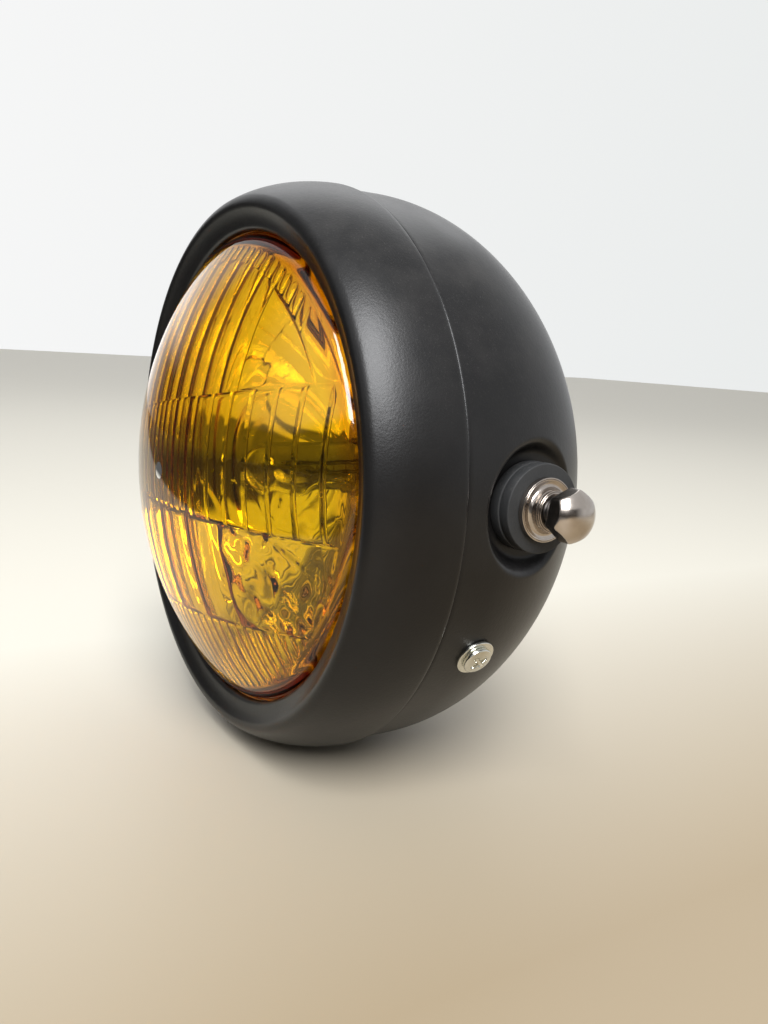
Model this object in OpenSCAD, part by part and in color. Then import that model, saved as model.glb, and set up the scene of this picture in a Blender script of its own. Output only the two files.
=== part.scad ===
// Round side-mounted motorcycle headlight with a fluted amber lens.
// X runs along the two side bolts, Y from the lens to the back of the bucket, Z up.
// The origin is the centre of the whole headlight's box, on the optical axis.
// Left is the rider's left, the +X side. Millimetres.
// Profiles are points [radius, station]; a station counts back from the seam.

/* [Bucket] */
// Outside radius of the straight band behind the seam
bucket_r = 88.9; // [85:0.1:95]
// Length of the straight band behind the seam
bucket_band = 12; // [6:0.5:16]
// Length over which the bowl would close to a point, as a share of its radius
bowl_share = 0.84; // [0.8:0.01:1]
// Roundness of the bowl, 1 being an ellipse and more being slimmer
bowl_power = 1.11; // [0.95:0.01:1.2]
// Steel thickness of the bucket
bucket_wall = 1.2; // [0.8:0.1:2]
// Radius of the flat disc at the back
back_flat_r = 14; // [14:0.5:18]
// Length of the lip that enters the trim ring
mouth_lip = 6; // [4.5:0.5:8]

/* [Trim ring] */
// How far the ring stands out over the bucket at the seam
seam_step = 1.1; // [0.6:0.1:2]
// Depth of the ring from the seam to its crease
ring_depth = 26.7; // [24:0.1:30]
// Half length of the ring's elliptical section, along the optical axis
crown_len = 33.4; // [32:0.1:38]
// Half height of the ring's elliptical section, along the radius
crown_rise = 20.4; // [17:0.1:22]
// Width of the ring's face, from its outside to the lens opening
bezel_w = 16.8; // [14.5:0.1:19]
// How far the inner bevel falls back from the crease to the lens
bevel_fall = 3.6; // [2:0.1:5]
// Length over which the crease is rounded, on each side
crease_round = 2.2; // [1:0.1:3]
// Sheet thickness of the ring
ring_wall = 1; // [0.8:0.1:1.4]
// How far the lip round the lens turns back
lip_turn = 1.6; // [1.2:0.1:2.5]
// Thickness of the return rib inside the ring
rib_t = 1; // [0.8:0.1:1.5]
// Height of the return rib inside the ring
rib_h = 2.7; // [2:0.1:3.5]

/* [Lens] */
// How far the glass bulges in front of the opening
lens_rise = 24; // [18:0.5:28]
// Thickness of the glass dome
lens_wall = 4; // [3:0.5:5]
// Width of the thick clear rim round the dome
lens_rim = 5.8; // [4:0.1:8]
// How far the lens flange reaches behind the ring's lip
flange_reach = 4.3; // [3:0.1:6]
// Thickness of the lens flange
flange_t = 3; // [2:0.1:4]
// Radius of the moulded ridges between the flutes
flute_r = 0.9; // [0.5:0.1:1.2]
// Turn of the lens pattern in the ring, in degrees
lens_turn = 4; // [0:1:8]
// Height of the line under the crown flutes, as a share of the opening's radius
crown_share = 0.78; // [0.7:0.01:0.82]
// Height of the line under the upper flutes, as a share of that radius
upper_share = 0.33; // [0.25:0.01:0.42]
// Depth of the line under the belt of ribs, as a share of that radius
lower_share = 0.15; // [0.08:0.01:0.22]
// Depth of the line under the wide flutes, as a share of that radius
foot_share = 0.55; // [0.47:0.01:0.63]
// Number of ribs across the belt
belt_count = 19; // [15:1:22]
// Number of fine flutes across the crown and the foot
fine_count = 30; // [20:1:34]
// Number of wide flutes across the lens
wide_count = 8; // [6:1:10]

/* [Reflector and gasket] */
// Focal length of the reflector, as a share of the bulb's flange to filament distance
focal_share = 0.9; // [0.86:0.01:0.95]
// Steel thickness of the reflector
reflector_wall = 0.8; // [0.6:0.1:1.2]
// Width of the reflector flange inside the lens rim
reflector_ledge = 3.5; // [2:0.1:4.5]
// Thickness of the rubber gasket's legs
gasket_t = 1.2; // [0.8:0.1:1.6]
// Number of spring clips that hold the lens unit in the ring
clip_count = 6; // [4:1:6]
// Width of each spring clip
clip_w = 9; // [7:0.5:12]
// Thickness of the clip, hook and bracket strip
strip_t = 0.8; // [0.6:0.1:1]

/* [Bulb] */
// Radius of the bulb's glass
bulb_r = 8.5; // [7:0.1:10]
// Distance from the bulb flange forward to the main filament
light_centre = 29; // [26:0.5:31]
// Distance from the bulb flange forward to the glass tip
bulb_reach = 54; // [48:0.5:58]
// Radius of the bulb's flange
bulb_flange_r = 21.5; // [20:0.1:23]
// Radius of the hole in the reflector for the bulb
bulb_hole_r = 18; // [15:0.5:19]
// Radius of the bulb base behind the flange
base_r = 14; // [12:0.5:15]
// Length of the bulb base behind the flange
base_len = 10.5; // [9:0.5:13]
// Length of the bulb's terminal blades
blade_len = 9; // [7:0.5:11]
// Length of the connector on the blades
connector_len = 17; // [14:0.5:20]
// Thickness of the rubber dust boot
boot_wall = 1.8; // [1.2:0.1:2.5]

/* [Side mounting] */
// Distance from the seam back to the bolt axis
bolt_setback = 27.6; // [24:0.1:32]
// Depth of the recess floor below the bucket at the bolt axis
recess_depth = 6.7; // [5:0.1:9]
// Radius of the flat floor of the recess
recess_floor_r = 15; // [14:0.1:17]
// Width of the curved wall round the recess
recess_flare = 7; // [5:0.1:9]
// Radius of the rubber washers
rubber_r = 12.6; // [11:0.1:13.5]
// Thickness of each rubber washer
rubber_t = 3.5; // [2.5:0.1:4.5]
// Outside radius of the stepped metal collar
collar_r = 8.9; // [8:0.1:10]
// Height of the stepped metal collar
collar_h = 5; // [4:0.1:6]
// Shank left showing between the collar and the bolt head
bolt_slack = 3.6; // [1:0.1:6]
// Thread radius of the side bolts
bolt_r = 4; // [3:0.1:5]
// Width across the flats of the bolt head and its nut
bolt_flats = 13; // [11:0.5:15]
// Height of the hexagon of the bolt head
hex_h = 3.3; // [2.5:0.1:5]
// Height of the dome on the bolt head
dome_h = 4.2; // [3:0.1:6]
// Length of the bolt under its head
bolt_len = 30; // [26:1:34]
// How far the corners of the backing plate stay inside the recess floor
plate_margin = 0.5; // [0.2:0.1:2]
// Thickness of the backing plate
plate_t = 2; // [1.5:0.1:3]
// Height of the nut on the backing plate
nut_h = 6.5; // [5:0.1:8]

/* [Ring fixing] */
// Distance from the seam back to the ring screws
screw_setback = 15; // [12:0.5:18]
// Angle of the ring screws below the horizontal
screw_angle = 28.7; // [20:0.1:40]
// Thread radius of the ring screws
screw_r = 2.5; // [2:0.1:3]
// Head radius of the ring screws
screw_head_r = 4.6; // [4:0.1:5.2]
// Head height of the ring screws
screw_head_h = 2.7; // [2:0.1:3.5]
// Length of the ring screws under the head
screw_len = 14; // [11:0.5:16]
// Radius of the washers under the ring screws
screw_washer_r = 5.8; // [5.4:0.1:7]
// Thickness of the washers under the ring screws
screw_washer_t = 1; // [0.6:0.1:1.5]
// Angle that each bracket and the hook cover round the ring
bracket_span = 14; // [10:1:18]

/* [Wiring grommet] */
// Radius of the cable hole through the grommet
cable_r = 4; // [3:0.1:5]
// Radius of the hole in the bucket for the grommet
grommet_hole_r = 9; // [8:0.1:10]
// How far the grommet stands out behind the bucket
grommet_out = 4.6; // [3.5:0.1:8]

/* [Clearances] */
// Radial gap between the lens and the ring's lip
lens_gap = 0.4; // [0.2:0.1:0.8]
// Radial gap between the bucket's lip and the ring
mouth_gap = 0.4; // [0.2:0.1:0.8]
// Gap between curved faces that fit together
fit_gap = 0.2; // [0.1:0.05:0.4]
// Radial gap between a thread and its nut
thread_gap = 0.1; // [0.05:0.05:0.2]
// Radial gap round a bolt or screw in a plain hole
hole_gap = 0.4; // [0.2:0.1:0.8]

/* [Hidden] */
$fn = 96;

LEFT = 1;
RIGHT = -1;
eps = 0.01;
hex_k = 1 / cos(30);

// Trim ring
ring_r = bucket_r + seam_step;
opening_r = ring_r - bezel_w;
lip_s = bevel_fall - ring_depth;
lip_end_s = lip_s + lip_turn;
crease_r = ring_r - crown_rise * (1 - sqrt(1 - pow(ring_depth / crown_len, 2)));
ring_steps = 14;
rib_back_s = -mouth_lip;
rib_front_s = rib_back_s - rib_t;
rib_r = ring_out(rib_front_s) - ring_wall - rib_h;

// Bucket
mouth_gap_s = 0.3;
lip_r = ring_out(rib_back_s) - ring_wall - mouth_gap;
bowl_steps = 14;
bowl_len = bowl_share * bucket_r;
back_angle = acos(pow(back_flat_r / bucket_r, 1 / bowl_power));
back_s = bucket_band + bowl_len * sin(back_angle);

// Lens: a dome of one radius, a thick rim and a flange behind the ring's lip
lens_skirt_r = opening_r - lens_gap;
dome_r = (opening_r * opening_r + lens_rise * lens_rise) / (2 * lens_rise);
dome_s = lip_s - lens_rise + dome_r;
front_s = dome_s - dome_r;
flange_front_s = lip_end_s + gasket_t;
flange_back_s = flange_front_s + flange_t;
lens_flange_r = opening_r + flange_reach;
lens_cavity_r = lens_skirt_r - lens_rim;
flute_reach = lens_cavity_r - 1.5;
crown_line = crown_share * opening_r;
upper_line = upper_share * opening_r;
lower_line = -lower_share * opening_r;
foot_line = -foot_share * opening_r;

// Reflector: a paraboloid behind the lens flange, with a neck for the bulb
gasket_r = lens_flange_r + fit_gap + gasket_t;
mouth_r = lens_cavity_r + reflector_ledge;
focal_len = focal_share * light_centre;
mirror_front_s = flange_back_s + reflector_wall;
gasket_back_s = mirror_front_s + gasket_t;
vertex_s = mirror_front_s + mouth_r * mouth_r / (4 * focal_len);
focus_s = vertex_s - focal_len;
seat_s = focus_s + light_centre;
neck_s = vertex_s - bulb_hole_r * bulb_hole_r / (4 * focal_len);
mirror_steps = 20;
socket_r = bulb_flange_r + hole_gap;
socket_wall = 1.2;
socket_s = seat_s + 7;

// Bulb
flange_thick = 1.2;
bulb_tip_s = seat_s - bulb_reach;
sleeve_len = 10;
sleeve_wall = 1.6;
glass_t = 1;
base_front_s = seat_s - sleeve_len;
base_back_s = seat_s + flange_thick + base_len;
plug_r = bulb_r - glass_t - fit_gap;
coil_gap = 8.5;
blade_w = 8;
blade_t = 0.8;
blade_off = 7.5;
wire_w = 1.6;
connector_w = 27;
connector_d = 24;

// Side mounting, as heights along X from the optical axis
pad_x = bowl_r(bolt_setback) - recess_depth;
recess_rise = bucket_r - pad_x + 0.3;
recess_steps = 5;
outer_rubber_x = pad_x + rubber_t;
collar_x = outer_rubber_x + rubber_t;
head_x = collar_x + collar_h + bolt_slack;
dome_x = head_x + hex_h;
hex_r = bolt_flats / 2 * hex_k;
head_ball_r = (hex_r * hex_r + dome_h * dome_h) / (2 * dome_h);
plate_x = pad_x - bucket_wall - plate_t;
plate_w = (recess_floor_r - plate_margin) * sqrt(2);
bolt_hole_r = bolt_r + hole_gap;

// Ring fixing, as radii from the optical axis
strap_out_r = rib_r - fit_gap;
strap_in_r = strap_out_r - strip_t - 0.4;
washer_seat_r = bowl_r(screw_setback) + 0.1;
strap_end_s = screw_setback + 7;
hook_reach = 5;
ring_nut_h = 4;
ring_nut_flats = 3.2 * screw_r;
ring_nut_r = strap_in_r - fit_gap;

// Place along Y of the seam and of the bolt axis, the box's centre being at zero
seam_y = -(front_s + back_s + grommet_out) / 2;
bolt_y = seam_y + bolt_setback;

// Wiring grommet
grommet_flange_r = grommet_hole_r + 3.2;
grommet_flange_t = 2.2;
nozzle_r = cable_r + 2.4;

// Radius of the ring's outside at a station in front of the seam
function ring_out(s) = ring_r - crown_rise * (1 - sqrt(1 - pow(s / crown_len, 2)));

// Radius of the bucket's outside at a station behind the seam
function bowl_r(s) = s <= bucket_band ? bucket_r
    : bucket_r * pow(cos(asin((s - bucket_band) / bowl_len)), bowl_power);

// Unit direction of a path's segment i
function heading(p, i) = (p[i + 1] - p[i]) / norm(p[i + 1] - p[i]);

// A path moved sideways by t, to the left of its direction of travel, its corners mitred
function offset_path(p, t) = [for (i = [0:len(p) - 1])
    let (a = heading(p, max(i - 1, 0)), b = heading(p, min(i, len(p) - 2)))
    p[i] + t * [-a[1] - b[1], a[0] + b[0]] / (1 + a * b)];

function reversed(p) = [for (i = [len(p) - 1:-1:0]) p[i]];

// Points of a corner b rounded from a to c
function corner(a, b, c, n) = [for (i = [0:n]) let (t = i / n)
    (1 - t) * (1 - t) * a + 2 * t * (1 - t) * b + t * t * c];

// Turns a profile round the optical axis
module spin(angle = 360, start = 0) {
    translate([0, seam_y, 0])
        rotate([-90, 0, 0])
            rotate_extrude(angle = angle, start = start)
                children();
}

// An annulus between two radii and two stations, as a profile
module band(r0, r1, s0, s1) {
    translate([r0, s0])
        square([r1 - r0, s1 - s0]);
}

// Puts children, drawn along +Z, on the bolt axis of one side
module on_bolt_axis(side) {
    mirror([side == RIGHT ? 1 : 0, 0, 0])
        translate([0, bolt_y, 0])
            rotate([0, 90, 0])
                children();
}

// Puts children, drawn along +Z, on a ring screw's axis
module on_screw_axis(side) {
    mirror([side == RIGHT ? 1 : 0, 0, 0])
        translate([0, seam_y + screw_setback, 0])
            rotate([0, 90 + screw_angle, 0])
                children();
}

// A round bar or a washer between two heights
module disc(r, z0, z1) {
    translate([0, 0, z0])
        cylinder(r = r, h = z1 - z0);
}

module tube(r, bore, z0, z1) {
    difference() {
        disc(r, z0, z1);
        disc(bore, z0 - 1, z1 + 1);
    }
}

module hexagon(flats, z0, z1) {
    translate([0, 0, z0])
        cylinder(r = flats / 2 * hex_k, h = z1 - z0, $fn = 6);
}

// Outline of the bowl, from the end of the band to the middle of the back
bowl_path = concat(
    [for (i = [0:bowl_steps]) let (a = back_angle * i / bowl_steps)
        [bucket_r * pow(cos(a), bowl_power), bucket_band + bowl_len * sin(a)]],
    [[0, back_s]]);

// Outline of the recess wall, from its axis out along an S curve
recess_path = concat(
    [[0, 0]],
    [for (i = [0:recess_steps]) let (t = i / recess_steps)
        [recess_floor_r + recess_flare * t, recess_rise * (1 - cos(180 * t)) / 2]]);
recess_end_r = recess_floor_r + recess_flare;
recess_top = 2 * recess_rise;

// The pressed wall from the lip to the back, before the recesses are made in it
module bucket_wall_body() {
    step_s = mouth_gap_s + bucket_wall;
    outside = concat(
        [[lip_r, -mouth_lip], [lip_r, mouth_gap_s], [bucket_r, mouth_gap_s]], bowl_path);
    inside = concat(
        [[lip_r - bucket_wall, -mouth_lip], [lip_r - bucket_wall, step_s],
         [bucket_r - bucket_wall, step_s]], offset_path(bowl_path, bucket_wall));
    spin()
        polygon(concat(outside, reversed(inside)));
}

// A solid whose outside lies in the middle of the wall
module bucket_core() {
    spin()
        polygon(concat([[0, bucket_band / 4], [bucket_r - bucket_wall / 2, bucket_band / 4]],
            offset_path(bowl_path, bucket_wall / 2)));
}

module recess_cut(side) {
    on_bolt_axis(side)
        translate([0, 0, pad_x])
            rotate_extrude()
                polygon(concat(recess_path, [[recess_end_r, recess_top], [0, recess_top]]));
}

module recess_backing(side) {
    on_bolt_axis(side)
        translate([0, 0, pad_x])
            rotate_extrude()
                polygon(concat(
                    offset_path(recess_path, -bucket_wall),
                    [[recess_end_r + bucket_wall, recess_top], [0, recess_top]]));
}

// Metal standing behind a recess, before the recess is cut into it
module recess_plug(side) {
    intersection() {
        bucket_core();
        recess_backing(side);
    }
}

module bucket_shell() {
    color("#1b1b1d")
        difference() {
            union() {
                bucket_wall_body();
                recess_plug(LEFT);
                recess_plug(RIGHT);
            }
            for (side = [LEFT, RIGHT]) {
                recess_cut(side);
                on_bolt_axis(side)
                    disc(bolt_hole_r, pad_x - 5, pad_x + 5);
                on_screw_axis(side)
                    disc(screw_r + hole_gap, washer_seat_r - 8, washer_seat_r + 5);
            }
            spin()
                band(0, grommet_hole_r, back_s - 5, back_s + 5);
        }
}

// Outside of the ring: the elliptical crown, the rounded crease, the bevel and the lip.
// The same path with sharp corners gives the inside.
crown_path = [for (i = [0:ring_steps - 1])
    let (s = -(ring_depth - crease_round) * i / (ring_steps - 1)) [ring_out(s), s]];
bevel_dir = [opening_r - crease_r, bevel_fall] / norm([opening_r - crease_r, bevel_fall]);
ring_path = concat(
    crown_path,
    corner(crown_path[ring_steps - 1], [crease_r, -ring_depth],
           [crease_r, -ring_depth] + crease_round * bevel_dir, 5),
    corner([opening_r, lip_s] - 1.3 * bevel_dir, [opening_r, lip_s],
           [opening_r, lip_s + 1.2], 4),
    [[opening_r, lip_end_s]]);
ring_corners = concat(crown_path,
    [[crease_r, -ring_depth], [opening_r, lip_s], [opening_r, lip_end_s]]);

module trim_ring() {
    color("#1b1b1d")
        union() {
            spin()
                polygon(concat(ring_path, reversed(offset_path(ring_corners, -ring_wall))));
            spin()
                band(rib_r, ring_out(rib_back_s) - ring_wall / 2, rib_front_s, rib_back_s);
        }
}

// One moulded ridge on the inside of the dome, from height z0 to z1
module flute_ridge(x, z0, z1) {
    dome_in = dome_r - lens_wall;
    ring = sqrt(dome_in * dome_in - x * x);
    a0 = asin(z0 / ring);
    a1 = asin(z1 / ring);
    translate([x, seam_y + dome_s, 0])
        rotate([90, 0, -90])
            rotate_extrude(angle = a1 - a0, start = a0)
                translate([ring, 0])
                    circle(r = flute_r, $fn = 24);
}

// A row of ridges between two heights, each cut short at the thick rim. The row has
// count ridges across the whole lens, of which those between two shares of it are made.
module flute_row(count, from, to, z0, z1) {
    pitch = 2 * flute_reach / count;
    for (i = [ceil((from + 1) * count / 2):floor((to + 1) * count / 2)]) {
        x = (i + 0.5) * pitch - flute_reach;
        half = abs(x) < flute_reach ? sqrt(flute_reach * flute_reach - x * x) : 0;
        low = max(z0 + flute_r, -half);
        high = min(z1 - flute_r, half);
        if (high - low > 3)
            flute_ridge(x, low, high);
    }
}

module lens_flutes() {
    rotate([0, -lens_turn, 0]) {
        flute_row(fine_count, -1, 1, crown_line, flute_reach);
        flute_row(belt_count, -1, 0.5, upper_line, crown_line);
        flute_row(belt_count, -1, 1, lower_line, upper_line);
        flute_row(wide_count, -1, 1, foot_line, lower_line);
        flute_row(fine_count, -1, 1, -flute_reach, foot_line);
    }
}

module lens() {
    color("#f0a810", 0.55)
        difference() {
            union() {
                intersection() {
                    translate([0, seam_y + dome_s, 0])
                        sphere(r = dome_r, $fn = 200);
                    spin()
                        band(0, lens_skirt_r, front_s - 1, flange_back_s);
                }
                spin()
                    band(0, lens_flange_r, flange_front_s, flange_back_s);
            }
            difference() {
                intersection() {
                    translate([0, seam_y + dome_s, 0])
                        sphere(r = dome_r - lens_wall, $fn = 200);
                    spin()
                        band(0, lens_cavity_r, front_s, flange_back_s + 1);
                }
                lens_flutes();
            }
        }
}

module lens_gasket() {
    color("#262626")
        spin()
            union() {
                band(opening_r + fit_gap, gasket_r, lip_end_s, flange_front_s);
                band(lens_flange_r + fit_gap, gasket_r, lip_end_s, gasket_back_s);
                band(opening_r + fit_gap, gasket_r, mirror_front_s, gasket_back_s);
            }
}

// Inside of the mirror, from its mouth to the hole for the bulb
mirror_path = concat(
    [[mouth_r, flange_back_s]],
    [for (i = [0:mirror_steps])
        let (r = mouth_r + (bulb_hole_r - mouth_r) * i / mirror_steps)
        [r, vertex_s - r * r / (4 * focal_len)]]);

module reflector() {
    color("#d9dcdf")
        union() {
            spin()
                polygon(concat(mirror_path, reversed(offset_path(mirror_path, -reflector_wall))));
            spin()
                band(mouth_r, lens_flange_r, flange_back_s, mirror_front_s);
            spin()
                union() {
                    band(bulb_hole_r, bulb_hole_r + reflector_wall, neck_s, seat_s);
                    band(bulb_hole_r, socket_r + socket_wall, seat_s - socket_wall, seat_s);
                    band(socket_r, socket_r + socket_wall, seat_s - socket_wall, socket_s);
                }
        }
}

// A bent strip with a slotted foot on the gasket and its end under the ring's rib
module unit_clip() {
    foot_r = opening_r + fit_gap + 0.4;
    end_r = ring_out(rib_front_s) - ring_wall - 1;
    bend_r = rib_r - 1.4;
    difference() {
        translate([0, 0, -clip_w / 2])
            linear_extrude(clip_w)
                polygon([
                    [foot_r, gasket_back_s], [gasket_r, gasket_back_s],
                    [bend_r + 0.4, rib_front_s - strip_t], [end_r, rib_front_s - strip_t],
                    [end_r, rib_front_s], [bend_r, rib_front_s],
                    [gasket_r - 0.4, gasket_back_s + strip_t], [foot_r, gasket_back_s + strip_t]]);
        translate([foot_r - 1, gasket_back_s - 1, -clip_w / 6])
            cube([gasket_r - foot_r + 2, strip_t + 4, clip_w / 3]);
    }
}

module unit_clips() {
    color("#b9bcc0")
        translate([0, seam_y, 0])
            for (i = [0:clip_count - 1])
                rotate([0, 360 / clip_count * i, 0])
                    unit_clip();
}

// A strap round part of the ring, with a foot against the front of the rib
module rib_strap(angle, end_s) {
    foot_r = ring_out(rib_front_s) - ring_wall - 0.6;
    spin(angle = bracket_span, start = angle - bracket_span / 2)
        union() {
            band(strap_in_r, strap_out_r, rib_front_s - strip_t, end_s);
            band(strap_in_r, foot_r, rib_front_s - strip_t, rib_front_s);
            children();
        }
}

module ring_hook() {
    tip_s = mouth_gap_s + bucket_wall + hook_reach;
    color("#9a9da1")
        rib_strap(-90, tip_s)
            band(strap_in_r, bucket_r - bucket_wall - hole_gap, tip_s - strip_t, tip_s);
}

module ring_bracket(side) {
    color("#9a9da1")
        difference() {
            rib_strap(side == LEFT ? screw_angle : 180 - screw_angle, strap_end_s);
            on_screw_axis(side)
                disc(screw_r + fit_gap, strap_in_r - 4, strap_out_r + 4);
        }
}

module ring_nut(side) {
    color("#c4c7ca")
        on_screw_axis(side)
            difference() {
                hexagon(ring_nut_flats, ring_nut_r - ring_nut_h, ring_nut_r);
                disc(screw_r + thread_gap, ring_nut_r - ring_nut_h - 1, ring_nut_r + 1);
            }
}

module ring_washer(side) {
    color("#d2d4d6")
        on_screw_axis(side)
            tube(screw_washer_r, screw_r + fit_gap, washer_seat_r, washer_seat_r + screw_washer_t);
}

// Pan head with a cross recess
module ring_screw(side) {
    under = washer_seat_r + screw_washer_t;
    crown_r = (screw_head_r * screw_head_r + screw_head_h * screw_head_h) / screw_head_h;
    slot_w = screw_head_r * 0.22;
    slot_l = screw_head_r * 1.05;
    slot_d = screw_head_h * 0.6;
    color("#d2d4d6")
        on_screw_axis(side)
            difference() {
                union() {
                    intersection() {
                        disc(screw_head_r, under, under + screw_head_h);
                        translate([0, 0, under + screw_head_h - crown_r])
                            sphere(r = crown_r);
                    }
                    disc(screw_r, under - screw_len, under + eps);
                }
                for (turn = [45, 135])
                    rotate([0, 0, turn])
                        translate([-slot_l / 2, -slot_w / 2, under + screw_head_h - slot_d])
                            cube([slot_l, slot_w, slot_d + 1]);
            }
}

module bulb_glass() {
    color("#e8e2c8", 0.4)
        spin()
            difference() {
                capsule(bulb_r, bulb_tip_s, seat_s - 1);
                capsule(bulb_r - glass_t, bulb_tip_s + glass_t, seat_s);
            }
}

// Half outline of a tube with one rounded end
module capsule(r, tip_s, end_s) {
    intersection() {
        union() {
            band(0, r, tip_s + r, end_s);
            translate([0, tip_s + r])
                circle(r = r);
        }
        band(0, r + 1, tip_s - 1, end_s);
    }
}

// Two coils, each on a pair of stiff wires from the plug of the base
module bulb_filaments() {
    coil_r = 0.8;
    coil_len = 5.5;
    stem_r = 0.35;
    main_y = seam_y + focus_s;
    plug_y = seam_y + base_front_s;
    color("#8a8d91")
        for (coil = [[main_y, -1.4], [main_y - coil_gap, 1.6]]) {
            translate([0, coil[0] - coil_len / 2, coil[1]])
                rotate([-90, 0, 0])
                    cylinder(r = coil_r, h = coil_len, $fn = 24);
            for (x = [-2.6, 2.6]) {
                y = coil[0] + (x < 0 ? -1 : 1) * (coil_len / 2 - 0.6);
                translate([x, y - stem_r, coil[1]])
                    rotate([-90, 0, 0])
                        cylinder(r = stem_r, h = plug_y - y + stem_r, $fn = 16);
                translate([min(x, 0), y, coil[1]])
                    rotate([0, 90, 0])
                        cylinder(r = stem_r, h = abs(x), $fn = 16);
            }
        }
}

// Scoop under the dipped coil, on a flat stalk from the plug of the base
module bulb_shield() {
    scoop_r = 4.6;
    scoop_t = 0.4;
    scoop_len = 9;
    scoop_y = seam_y + focus_s - 13;
    plug_y = seam_y + base_front_s;
    color("#b4b6b8")
        union() {
            translate([0, scoop_y, 0])
                rotate([-90, 0, 0])
                    rotate_extrude(angle = 150, start = 15)
                        union() {
                            translate([scoop_r - scoop_t, 0])
                                square([scoop_t, scoop_len]);
                            square([scoop_r, scoop_t]);
                        }
            translate([-1.5, scoop_y, -scoop_r - scoop_t / 2])
                cube([3, plug_y - scoop_y, scoop_t]);
        }
}

module bulb_base() {
    color("#c9c3b0")
        difference() {
            spin()
                union() {
                    band(bulb_r + fit_gap, bulb_r + fit_gap + sleeve_wall, base_front_s, seat_s);
                    band(0, plug_r, base_front_s, seat_s + flange_thick);
                    band(0, bulb_flange_r, seat_s, seat_s + flange_thick);
                    band(0, base_r, seat_s + flange_thick, base_back_s);
                }
            for (turn = [90, 210, 330])
                rotate([0, turn, 0])
                    translate([bulb_flange_r - 1.5, seam_y + seat_s - 1, -3])
                        cube([4, flange_thick + 2, 6]);
        }
}

// The three blades, one lying and two upright
module blades(gap, s0, s1) {
    w = blade_w + 2 * gap;
    t = blade_t + 2 * gap;
    translate([-w / 2, seam_y + s0, blade_off - t / 2])
        cube([w, s1 - s0, t]);
    for (x = [-blade_off, blade_off])
        translate([x - t / 2, seam_y + s0, -w / 2 - 1.5])
            cube([t, s1 - s0, w]);
}

module bulb_terminals() {
    color("#c8b070")
        blades(0, base_back_s, base_back_s + blade_len);
}

// Spring wire looped behind the bulb's flange, with two feet in the socket
module bulb_clip() {
    loop_r = base_r + 3;
    wire_s = seat_s + flange_thick;
    foot_len = socket_r - fit_gap - loop_r;
    color("#b9bcc0")
        union() {
            spin(angle = 300, start = 30)
                band(loop_r - wire_w, loop_r, wire_s, wire_s + wire_w);
            for (turn = [30, 330])
                translate([0, seam_y + wire_s, 0])
                    rotate([0, turn, 0])
                        translate([loop_r - wire_w, 0, -wire_w / 2])
                            cube([wire_w + foot_len, wire_w, wire_w]);
        }
}

// Rubber boot over the socket, with a neck round the bulb's base
module dust_boot() {
    grip_r = socket_r + socket_wall + fit_gap;
    neck_r = base_r + fit_gap;
    shoulder_s = socket_s + fit_gap;
    color("#202020")
        spin()
            union() {
                band(grip_r, grip_r + boot_wall, seat_s, shoulder_s + boot_wall);
                for (s = [seat_s + 1, seat_s + 4])
                    band(grip_r, grip_r + boot_wall + 0.8, s, s + 1.4);
                band(neck_r, grip_r + boot_wall, shoulder_s, shoulder_s + boot_wall);
                band(neck_r, neck_r + boot_wall, shoulder_s, base_back_s);
            }
}

module bulb_connector() {
    front_y = seam_y + base_back_s + fit_gap;
    corner_r = 3;
    color("#2a2a2c")
        difference() {
            translate([0, front_y, 0])
                rotate([-90, 0, 0])
                    linear_extrude(connector_len)
                        union() {
                            square([connector_w, connector_d - 2 * corner_r], center = true);
                            square([connector_w - 2 * corner_r, connector_d], center = true);
                            for (x = [-1, 1], y = [-1, 1])
                                translate([x * (connector_w / 2 - corner_r),
                                           y * (connector_d / 2 - corner_r)])
                                    circle(r = corner_r);
                        }
            blades(fit_gap, base_back_s - 1, base_back_s + blade_len + fit_gap);
            for (x = [-7.5, 0, 7.5])
                translate([x, front_y + connector_len - 5, 0])
                    rotate([-90, 0, 0])
                        cylinder(r = 2, h = 6);
        }
}

// Grommet with a groove over the bucket's hole and a tapered nozzle outside
module wiring_grommet() {
    groove_r = grommet_hole_r - fit_gap;
    inside_s = back_s - bucket_wall;
    out_s = back_s + grommet_out;
    color("#1e1e1e")
        spin()
            difference() {
                union() {
                    band(0, grommet_hole_r + 2.2, inside_s - 1.8, inside_s);
                    band(0, groove_r, inside_s, back_s);
                    band(0, grommet_flange_r, back_s, back_s + grommet_flange_t);
                    polygon([[0, back_s], [nozzle_r + 1.4, back_s],
                             [nozzle_r, out_s], [0, out_s]]);
                }
                band(0, cable_r, inside_s - 5, out_s + 1);
            }
}

// Hexagon head under a low dome, on a plain shank
module side_bolt(side) {
    color("#a9a49c")
        on_bolt_axis(side)
            union() {
                intersection() {
                    hexagon(bolt_flats, head_x, dome_x + dome_h + 1);
                    translate([0, 0, dome_x + dome_h - head_ball_r])
                        sphere(r = head_ball_r);
                }
                disc(bolt_r, head_x - bolt_len, head_x + eps);
            }
}

// Stepped collar: a rimmed dish, a cone and a raised hub round the bolt
module bolt_collar(side) {
    rim_h = collar_h * 0.38;
    hub_r = bolt_r + 1.4;
    color("#a9a49c")
        on_bolt_axis(side)
            translate([0, 0, collar_x])
                rotate_extrude()
                    polygon([
                        [bolt_hole_r, 0], [collar_r, 0], [collar_r, rim_h],
                        [collar_r - 0.6, rim_h], [collar_r - 1.2, rim_h - 0.6],
                        [hub_r + 1.6, rim_h - 0.6], [hub_r + 1.2, rim_h + 0.3],
                        [hub_r + 0.6, rim_h + 0.5], [hub_r, collar_h - 0.3],
                        [hub_r - 0.3, collar_h], [bolt_hole_r, collar_h]]);
}

module outer_rubber(side) {
    color("#3a3c3e")
        on_bolt_axis(side)
            tube(rubber_r, bolt_hole_r, outer_rubber_x, collar_x);
}

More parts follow.
